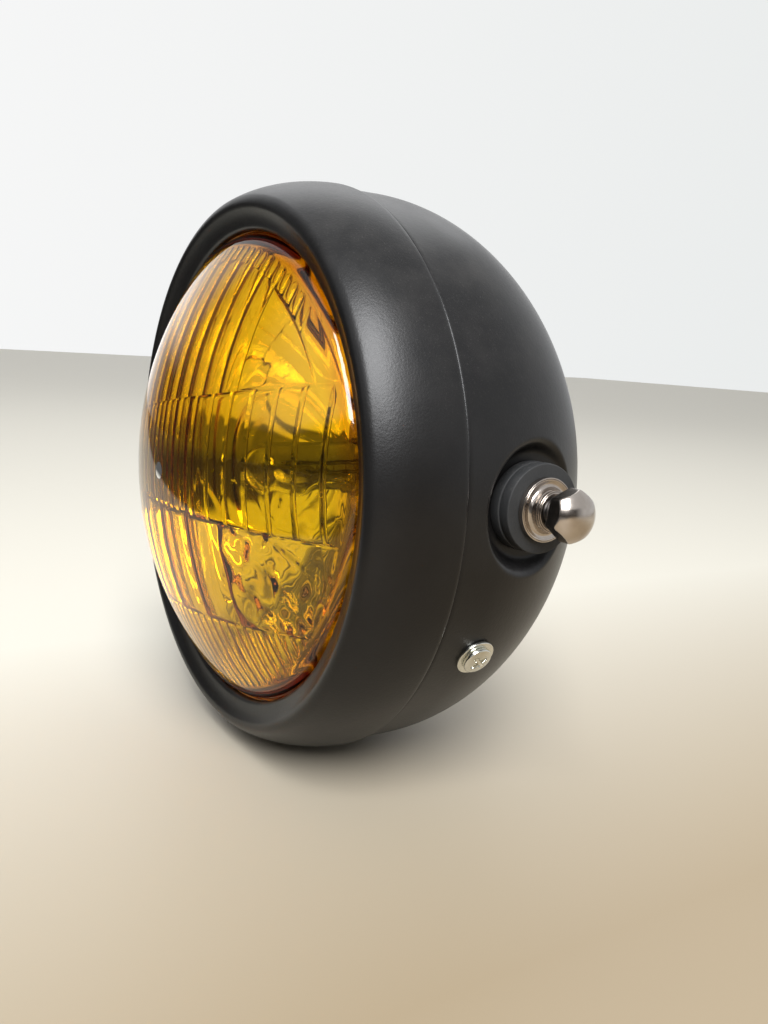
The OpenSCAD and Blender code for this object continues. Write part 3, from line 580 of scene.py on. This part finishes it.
def wiring_grommet():
    """The inner flange, the groove over the bucket's edge, the outer flange and the
    tapered nozzle, all with soft corners."""
    inn, out, back, groove_r = BACK_S - BUCKET_WALL, BACK_S + 4.6, BACK_S, GROMMET_HOLE_R - 0.2
    corners = [[4, inn - 1.8], [11.2, inn - 1.8], [11.2, inn], [groove_r, inn],
               [groove_r, back], [12.2, back], [12.2, back + 2.2], [7.15, back + 2.2],
               [6.4, out], [4, out]]
    return turned(soft_outline(corners, [0.4, 0.5, 0.3, 0.2, 0.2, 0.3, 0.7, 0.8, 0.6, 0.4]))


# Shader groups

def shader_group(name, inputs, outputs):
    """A node group with named value inputs, and its Object coordinates."""
    tree = bpy.data.node_groups.new(name, "ShaderNodeTree")
    for label, value in inputs:
        socket = tree.interface.new_socket(label, in_out="INPUT", socket_type="NodeSocketFloat")
        socket.default_value = value
    for label, kind in outputs:
        tree.interface.new_socket(label, in_out="OUTPUT", socket_type=kind)
    given = tree.nodes.new("NodeGroupInput")
    made = tree.nodes.new("NodeGroupOutput")
    place = tree.nodes.new("ShaderNodeTexCoord").outputs["Object"]
    return tree, given.outputs, made.inputs, place


def feed(tree, socket, given):
    """A plain value goes on the socket itself, an output is linked to it."""
    if isinstance(given, bpy.types.NodeSocket):
        tree.links.new(given, socket)
    else:
        socket.default_value = given


def noise(tree, place, scale, detail=2.0, rough=0.5):
    """A noise from 0 to 1 at each place, with its scale given or linked."""
    node = tree.nodes.new("ShaderNodeTexNoise")
    node.inputs["Detail"].default_value = detail
    node.inputs["Roughness"].default_value = rough
    tree.links.new(place, node.inputs["Vector"])
    feed(tree, node.inputs["Scale"], scale)
    return node.outputs["Fac"]


def spread(tree, value, low, high, to_low=0.0, to_high=1.0):
    """Maps a value from one range onto another, kept inside it."""
    node = tree.nodes.new("ShaderNodeMapRange")
    for socket, given in zip(list(node.inputs)[:5], (value, low, high, to_low, to_high)):
        feed(tree, socket, given)
    return node.outputs["Result"]


def maths(tree, what, a, b):
    """One operation on two values, each given or linked."""
    node = tree.nodes.new("ShaderNodeMath")
    node.operation = what
    for socket, given in zip(node.inputs, (a, b)):
        feed(tree, socket, given)
    return node.outputs[0]


def mixed(tree, factor, low, high):
    """A colour between two, each given or linked, by a factor."""
    node = tree.nodes.new("ShaderNodeMix")
    node.data_type = "RGBA"
    tree.links.new(factor, node.inputs[0])
    for socket, given in zip(node.inputs[6:8], (low, high)):
        feed(tree, socket, (*given, 1) if isinstance(given, tuple) else given)
    return node.outputs[2]


def along(tree, way, direction):
    """How far a way points along a direction: their dot product."""
    node = tree.nodes.new("ShaderNodeVectorMath")
    node.operation = "DOT_PRODUCT"
    tree.links.new(way, node.inputs[0])
    node.inputs[1].default_value = direction
    return node.outputs["Value"]


def make_grain():
    """Fine grain of paint, rubber and moulded plastic: two noises a size apart."""
    tree, given, made, place = shader_group(
        "fine_grain", [("Scale", 1500.0), ("Matt", 0.4), ("Spread", 0.06)],
        [("Height", "NodeSocketFloat"), ("Roughness", "NodeSocketFloat")])
    fine = noise(tree, place, given["Scale"], 2.0, 0.6)
    coarse = noise(tree, place, maths(tree, "MULTIPLY", given["Scale"], 0.31), 1.0)
    tree.links.new(maths(tree, "ADD", fine, maths(tree, "MULTIPLY", coarse, 0.6)),
                   made["Height"])
    cloud = noise(tree, place, 22.0, 3.0)
    uneven = maths(tree, "ADD", maths(tree, "MULTIPLY", cloud, 0.7),
                   maths(tree, "MULTIPLY", fine, 0.3))
    swing = maths(tree, "MULTIPLY", spread(tree, uneven, 0.3, 0.7, -1.0, 1.0), given["Spread"])
    tree.links.new(maths(tree, "ADD", given["Matt"], swing), made["Roughness"])
    return tree


def make_dust():
    """Dust that settles on faces that look up, broken by two noises."""
    tree, given, made, place = shader_group(
        "settled_dust", [("Amount", 0.3), ("Scale", 90.0)], [("Mask", "NodeSocketFloat")])
    up = tree.nodes.new("ShaderNodeSeparateXYZ")
    normal = tree.nodes.new("ShaderNodeNewGeometry").outputs["Normal"]
    tree.links.new(normal, up.inputs[0])
    facing = spread(tree, up.outputs["Z"], 0.1, 0.95)
    patches = spread(tree, noise(tree, place, given["Scale"], 4.0, 0.6), 0.42, 0.72)
    specks = spread(tree, noise(tree, place, 1900.0, 1.0), 0.62, 0.75)
    broken = maths(tree, "ADD", maths(tree, "MULTIPLY", patches, 0.55),
                   maths(tree, "MULTIPLY", specks, 0.8))
    mask = maths(tree, "MULTIPLY", maths(tree, "MULTIPLY", facing, broken), given["Amount"])
    tree.links.new(mask, made["Mask"])
    return tree


def make_marks():
    """Polishing marks and faint smudges on metal and glass: a stretched fine noise for the
    marks, a broad one for the smudges."""
    tree, given, made, place = shader_group(
        "polish_marks", [("Scale", 700.0), ("Polish", 0.15), ("Spread", 0.08)],
        [("Height", "NodeSocketFloat"), ("Roughness", "NodeSocketFloat")])
    stretch = tree.nodes.new("ShaderNodeMapping")
    stretch.inputs["Scale"].default_value = (1.0, 0.12, 1.0)
    tree.links.new(place, stretch.inputs["Vector"])
    lines = noise(tree, stretch.outputs["Vector"], given["Scale"], 3.0, 0.6)
    smudge = noise(tree, place, 60.0, 4.0, 0.6)
    both = maths(tree, "ADD", maths(tree, "MULTIPLY", lines, 0.5),
                 maths(tree, "MULTIPLY", smudge, 0.5))
    swing = maths(tree, "MULTIPLY", spread(tree, both, 0.35, 0.65, -1.0, 1.0), given["Spread"])
    tree.links.new(maths(tree, "ADD", given["Polish"], swing), made["Roughness"])
    tree.links.new(lines, made["Height"])
    return tree


GRAIN, DUST, MARKS = make_grain(), make_dust(), make_marks()
DUST_COLOUR = (0.32, 0.3, 0.28)


# Materials

def placed(mat, tree, **values):
    """A shader group in a material, with this material's own values."""
    node = mat.node_tree.nodes.new("ShaderNodeGroup")
    node.node_tree = tree
    for label, value in values.items():
        node.inputs[label].default_value = value
    return node.outputs


def bare(name, roughness, **values):
    """A Principled shader with plain values on its own sockets."""
    mat = bpy.data.materials.new(name)
    mat.use_nodes = True
    shader = mat.node_tree.nodes["Principled BSDF"]
    shader.inputs["Roughness"].default_value = roughness
    for label, value in values.items():
        shader.inputs[label.replace("_", " ")].default_value = value
    return mat, shader


def bumped(mat, shader, height, strength, distance):
    """A height that tilts the shader's normal, as fine relief."""
    node = mat.node_tree.nodes.new("ShaderNodeBump")
    node.inputs["Strength"].default_value = strength
    node.inputs["Distance"].default_value = distance
    mat.node_tree.links.new(height, node.inputs["Height"])
    mat.node_tree.links.new(node.outputs["Normal"], shader.inputs["Normal"])


def grained(name, dark, light, scale, matt, swing, bump, dust=0.0, **values):
    """Paint, rubber or plastic: a colour that varies with a broad noise, fine grain in
    roughness and height, and dust on what faces up."""
    mat, shader = bare(name, matt, **values)
    tree, place = mat.node_tree, mat.node_tree.nodes.new("ShaderNodeTexCoord")
    cloud = noise(tree, place.outputs["Object"], 35.0, 4.0, 0.6)
    colour = mixed(tree, spread(tree, cloud, 0.35, 0.68), dark, light)
    grain = placed(mat, GRAIN, Scale=scale, Matt=matt, Spread=swing)
    if dust:
        mask = placed(mat, DUST, Amount=dust)["Mask"]
        colour = mixed(tree, mask, colour, DUST_COLOUR)
    tree.links.new(colour, shader.inputs["Base Color"])
    tree.links.new(grain["Roughness"], shader.inputs["Roughness"])
    bumped(mat, shader, grain["Height"], bump, 0.0001)
    return mat


def metal(name, dark, light, scale, polish, swing, bump):
    """Plated or bare metal: its colour varies a little with a broad noise, and polishing
    marks change its gloss."""
    mat, shader = bare(name, polish, Metallic=1.0)
    tree, place = mat.node_tree, mat.node_tree.nodes.new("ShaderNodeTexCoord")
    cloud = noise(tree, place.outputs["Object"], 140.0, 3.0, 0.6)
    colour = mixed(tree, spread(tree, cloud, 0.35, 0.65), dark, light)
    marks = placed(mat, MARKS, Scale=scale, Polish=polish, Spread=swing)
    tree.links.new(colour, shader.inputs["Base Color"])
    tree.links.new(marks["Roughness"], shader.inputs["Roughness"])
    bumped(mat, shader, marks["Height"], bump, 0.00005)
    return mat


def glass(name, colour, polish, swing, absorb=None, density=0.0, rim=None):
    """Clear glass with faint smudges. With absorb, a plain absorption inside tints it with
    depth. With rim, its colour goes over to that one, a painted glow that stands in for light
    carried inside thick glass, between PAINTED_GLOW_FROM and PAINTED_GLOW_TO, out from the
    optical axis."""
    mat, shader = bare(name, polish, Transmission_Weight=1.0, IOR=1.5)
    tree = mat.node_tree
    shader.inputs["Base Color"].default_value = (*colour, 1)
    marks = placed(mat, MARKS, Scale=260.0, Polish=polish, Spread=swing)
    tree.links.new(marks["Roughness"], shader.inputs["Roughness"])
    # Painted glow: a deeper orange towards the edge, standing in for light carried through the
    # thick rim glass
    if rim:
        flat = tree.nodes.new("ShaderNodeMapping")
        flat.inputs["Scale"].default_value = (1, 0, 1)
        tree.links.new(tree.nodes.new("ShaderNodeTexCoord").outputs["Object"],
                       flat.inputs["Vector"])
        far = tree.nodes.new("ShaderNodeVectorMath")
        far.operation = "LENGTH"
        tree.links.new(flat.outputs["Vector"], far.inputs[0])
        factor = spread(tree, far.outputs["Value"], PAINTED_GLOW_FROM * MM, PAINTED_GLOW_TO * MM)
        tree.links.new(mixed(tree, factor, colour, rim), shader.inputs["Base Color"])
    if absorb:
        inside = tree.nodes.new("ShaderNodeVolumeAbsorption")
        inside.inputs["Color"].default_value = (*absorb, 1)
        inside.inputs["Density"].default_value = density
        tree.links.new(inside.outputs[0], tree.nodes["Material Output"].inputs["Volume"])
    return mat


black_paint = grained("satin_black_paint", (0.0035, 0.0033, 0.0036), (0.0065, 0.0062, 0.0063),
                      1700.0, 0.34, 0.05, 0.35, dust=0.08, Specular_IOR_Level=0.35)
# The amber glass's rim colour is a painted glow, standing in for light carried through the thick
# rim
amber_glass = glass("amber_glass", (1.0, 0.95, 0.66), 0.02, 0.015,
                    (0.995, 0.905, 0.1), 560.0, rim=(0.86, 0.52, 0.13))
clear_glass = glass("bulb_clear_glass", (1.0, 1.0, 1.0), 0.01, 0.008)
washer_rubber = grained("washer_rubber", (0.010, 0.0105, 0.011), (0.022, 0.023, 0.024),
                        950.0, 0.7, 0.1, 0.8, dust=0.25)
seal_rubber = grained("seal_rubber", (0.012, 0.012, 0.012), (0.022, 0.021, 0.02),
                      1100.0, 0.6, 0.1, 0.5, dust=0.25)
gasket_silicone = grained("gasket_silicone", (0.8, 0.74, 0.6), (0.88, 0.82, 0.7),
                          1100.0, 0.45, 0.1, 0.5, dust=0.05)
black_plastic = grained("moulded_black_plastic", (0.015, 0.015, 0.016), (0.03, 0.03, 0.03),
                        1300.0, 0.5, 0.08, 0.4)
nickel = metal("warm_nickel", (0.44, 0.39, 0.35), (0.56, 0.51, 0.46), 900.0, 0.2, 0.06, 0.12)
# Painted shade: the thread gets a near-black metal colour, standing in for the shade in the gap
# between collar and head
thread_painted_shade = metal("thread_metal_painted_shade", (0.05, 0.047, 0.045), (0.11, 0.1, 0.095),
                     800.0, 0.4, 0.1, 0.3)
bright_zinc = metal("bright_zinc", (0.6, 0.6, 0.54), (0.76, 0.76, 0.7),
                    700.0, 0.17, 0.06, 0.2)
zinc_steel = metal("zinc_steel", (0.42, 0.42, 0.4), (0.6, 0.59, 0.55), 500.0, 0.34, 0.1, 0.3)
spring_steel = metal("spring_steel", (0.38, 0.38, 0.4), (0.52, 0.52, 0.53), 600.0, 0.28,
                     0.08, 0.2)
mirror_coat = metal("mirror_coat", (0.86, 0.87, 0.87), (0.91, 0.91, 0.91), 60.0, 0.03,
                    0.02, 0.01)
bulb_metal = metal("bulb_plating", (0.6, 0.57, 0.5), (0.74, 0.7, 0.62), 500.0, 0.25,
                   0.08, 0.2)
terminal_brass = metal("terminal_brass", (0.6, 0.43, 0.17), (0.74, 0.56, 0.26), 500.0, 0.3,
                       0.08, 0.2)
tungsten = metal("tungsten", (0.16, 0.16, 0.17), (0.3, 0.3, 0.31), 2500.0, 0.42, 0.1, 0.4)


# Pieces that stand for CAD nodes

def show(name, part, nodes, material, sharp=38):
    """A closed part as an object that stands for the CAD nodes named."""
    points, faces = part
    mesh = bpy.data.meshes.new(name)
    mesh.from_pydata((points * MM).tolist(), [], [face for f in faces for face in f.tolist()])
    mesh.polygons.foreach_set("use_smooth", np.ones(len(mesh.polygons), bool))
    mesh.set_sharp_from_angle(angle=math.radians(sharp))
    mesh.materials.append(material)
    mesh.update()
    piece = bpy.data.objects.new(name, mesh)
    bpy.context.scene.collection.objects.link(piece)
    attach(piece, "root")
    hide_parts(*nodes)


show("trim_ring_sheet", on_optical_axis(trim_ring()), ["trim_ring"],
     black_paint)
show("bucket_pressing", on_optical_axis(bucket_shell()), ["bucket_shell"],
     black_paint)
show("lens_glass", on_optical_axis(lens(), LENS_TURN), ["lens"],
     amber_glass, sharp=28)
show("reflector_bowl", on_optical_axis(reflector()), ["reflector"],
     mirror_coat)
show("bulb_glass_tube", on_optical_axis(bulb_glass()), ["bulb_glass"],
     clear_glass)
show("grommet_moulding", on_optical_axis(wiring_grommet()), ["wiring_grommet"],
     seal_rubber)
for side, hand in ((LEFT, "left"), (RIGHT, "right")):
    show(f"side_bolt_head_{hand}", on_bolt_axis(bolt_head(), side), [f"side_bolt_{hand}"],
         nickel)
    # The thread's near-black metal is painted shade for the gap between collar and head
    show(f"side_bolt_thread_{hand}", on_bolt_axis(bolt_shank(), side),
         [f"side_bolt_{hand}"], thread_painted_shade)
    show(f"collar_{hand}", on_bolt_axis(bolt_collar(), side), [f"bolt_collar_{hand}"],
         nickel)
    show(f"outer_washer_{hand}", on_bolt_axis(rubber_washer(OUTER_RUBBER_X), side),
         [f"outer_rubber_{hand}"], washer_rubber)
    show(f"inner_washer_{hand}", on_bolt_axis(rubber_washer(PAD_X, forward=0.4), side),
         [f"inner_rubber_{hand}"], washer_rubber)
    show(f"pan_screw_{hand}", on_screw_axis(screw_head(), side), [f"ring_screw_{hand}"],
         bright_zinc)
    show(f"flat_washer_{hand}", on_screw_axis(ring_washer(), side),
         [f"ring_washer_{hand}"], bright_zinc)

# CAD nodes that keep their own shape get their materials
FINISHES = {
    "lens_gasket": gasket_silicone, "dust_boot": seal_rubber, "unit_clips": spring_steel,
    "bulb_clip": spring_steel, "ring_hook": zinc_steel, "bulb_filaments": tungsten,
    "bulb_shield": bulb_metal, "bulb_base": bulb_metal, "bulb_terminals": terminal_brass,
    "bulb_connector": black_plastic}
for fixing in ("nut_plate", "mount_nut", "ring_bracket", "ring_nut"):
    FINISHES.update({f"{fixing}_left": zinc_steel, f"{fixing}_right": zinc_steel})
for node, finish in FINISHES.items():
    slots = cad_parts[node].data.materials
    for i in range(len(slots)):
        slots[i] = finish
    if not len(slots):
        slots.append(finish)


# Floor, light and camera

# Metres from the middle to the floor's edges, its own colour near the lamp, a painted sheen
# far from it for the wall's reflection, and its colour where only the lamp's reflections show it
FLOOR_REACH = 6
FLOOR_NEAR, FLOOR_PAINTED_SHEEN = (0.305, 0.24, 0.155), (0.62, 0.59, 0.51)
FLOOR_UNSEEN = (0.03, 0.028, 0.025)
# The lens and the long side of the film, in millimetres
FOCAL_LENGTH, FILM = 33.75, 36


def make_floor():
    """A flat floor under the lamp, warm grey, going over to a painted sheen of pale grey beyond
    and behind it, which stands in for the wall's reflection at grazing angles.
    In what the lamp reflects, the floor ends in the dark in front of the lens."""
    mesh = bpy.data.meshes.new("floor")
    z, w = FLOOR_Z * MM, FLOOR_REACH
    mesh.from_pydata([(-w, -w, z), (w, -w, z), (w, w, z), (-w, w, z)], [], [(0, 1, 2, 3)])
    mat, shader = bare("floor_matt", 0.55)
    tree = mat.node_tree
    place = tree.nodes.new("ShaderNodeTexCoord").outputs["Object"]
    apart = tree.nodes.new("ShaderNodeSeparateXYZ")
    tree.links.new(place, apart.inputs[0])
    # Painted sheen: the floor pales behind and beyond the lamp, standing in for the wall's
    # reflection at grazing angles
    behind = spread(tree, apart.outputs["Y"], 0.16, 0.5, 0.0, 0.55)
    beyond = spread(tree, apart.outputs["X"], 0.14, -0.12)
    factor = maths(tree, "MAXIMUM", behind, beyond)
    seen = tree.nodes.new("ShaderNodeLightPath").outputs["Is Camera Ray"]
    away = maths(tree, "MULTIPLY", spread(tree, apart.outputs["Y"], -0.27, -0.29),
                 maths(tree, "SUBTRACT", 1.0, seen))
    pale = mixed(tree, factor, FLOOR_NEAR, FLOOR_PAINTED_SHEEN)
    tree.links.new(mixed(tree, away, pale, FLOOR_UNSEEN), shader.inputs["Base Color"])
    mesh.materials.append(mat)
    floor = bpy.data.objects.new("floor", mesh)
    bpy.context.scene.collection.objects.link(floor)


def make_world():
    """A pale room. The camera sees its plain wall. What the lamp reflects has a dark low
    part in front of the lens, higher to the left, over which the room is bright, a dim
    corner to the right of the lens and the brightest wall beside the lamp, on its right."""
    world = bpy.data.worlds.new("studio")
    bpy.context.scene.world = world
    world.use_nodes = True
    tree = world.node_tree
    way = tree.nodes.new("ShaderNodeTexCoord").outputs["Generated"]
    up = along(tree, way, (0, 0, 1))
    front = spread(tree, along(tree, way, (0.2, -0.98, 0)), -0.45, 0.1)
    brow = maths(tree, "MULTIPLY", spread(tree, along(tree, way, (1, 0, 0)), -0.1, 0.5), 0.24)
    low = maths(tree, "MULTIPLY", spread(tree, maths(tree, "SUBTRACT", up, brow), 0.2, 0.13),
                front)
    behind, far = along(tree, way, (0, 1, 0)), along(tree, way, (-1, 0, 0))
    flank = maths(tree, "MULTIPLY", spread(tree, behind, -0.2, -0.4), spread(tree, far, 0.2, 0.5))
    beside = maths(tree, "MULTIPLY", spread(tree, far, 0.5, 0.8), spread(tree, up, 0.45, 0.2))
    side = maths(tree, "MULTIPLY", spread(tree, behind, -0.26, 0.0), beside)
    high = mixed(tree, front, (0.72, 0.73, 0.74), (0.84, 0.85, 0.86))
    dimmed = mixed(tree, flank, high, (0.1, 0.1, 0.1))
    lit = mixed(tree, side, dimmed, (1.5, 1.5, 1.5))
    room = mixed(tree, low, lit, (0.06, 0.055, 0.05))
    wall = mixed(tree, spread(tree, along(tree, way, (0.54, 0.84, 0)), -0.6, 0.5),
                 (0.95, 0.95, 0.95), (0.81, 0.83, 0.825))
    seen = tree.nodes.new("ShaderNodeLightPath").outputs["Is Camera Ray"]
    back = tree.nodes["Background"]
    tree.links.new(mixed(tree, seen, room, wall), back.inputs["Color"])
    back.inputs["Strength"].default_value = 1.0


def standing(right, up, back, place):
    """The matrix of a thing that looks along -back, from its axes and place."""
    return Matrix(np.vstack([np.column_stack([right, up, back, place]), [0, 0, 0, 1]]).tolist())


def make_window(name, azimuth, elevation, distance, width, height, power, tint):
    """A soft rectangular light that looks at the lamp. Azimuth 0 is in front of the lens
    and 90 on its left."""
    data = bpy.data.lights.new(name, "AREA")
    data.shape = "RECTANGLE"
    data.size, data.size_y = width, height
    data.energy = power
    data.color = tint
    lamp = bpy.data.objects.new(name, data)
    a, e = math.radians(azimuth), math.radians(elevation)
    way = np.array([math.sin(a) * math.cos(e), -math.cos(a) * math.cos(e), math.sin(e)])
    right = np.array([math.cos(a), math.sin(a), 0])
    up = np.cross(way, right)
    lamp.matrix_world = standing(right, up, way, way * distance)
    bpy.context.scene.collection.objects.link(lamp)


def make_camera():
    """Stands where the photograph was taken from, its place measured from the middle of
    the seam."""
    data = bpy.data.cameras.new("camera")
    data.sensor_width, data.lens = FILM, FOCAL_LENGTH
    data.clip_start, data.clip_end = 0.01, 50
    camera = bpy.data.objects.new("camera", data)
    right = np.array([0.5397, 0.8397, 0.0605])
    up = np.array([-0.1715, 0.0393, 0.9844])
    back = np.array([0.8242, -0.5416, 0.1652])
    place = np.array([278.7, -149.9 + SEAM_Y, 39.7]) * MM
    camera.matrix_world = standing(right, up, back, place)
    bpy.context.scene.collection.objects.link(camera)
    bpy.context.scene.camera = camera


make_floor()
make_world()
make_window("window", 60, 44, 1.6, 0.7, 1.1, 44, (0.97, 0.98, 1.0))
make_window("skylight", -122, 46, 1.6, 1.2, 0.8, 3, (0.98, 0.99, 1.0))
make_camera()
bpy.context.scene.view_settings.view_transform = "Standard"
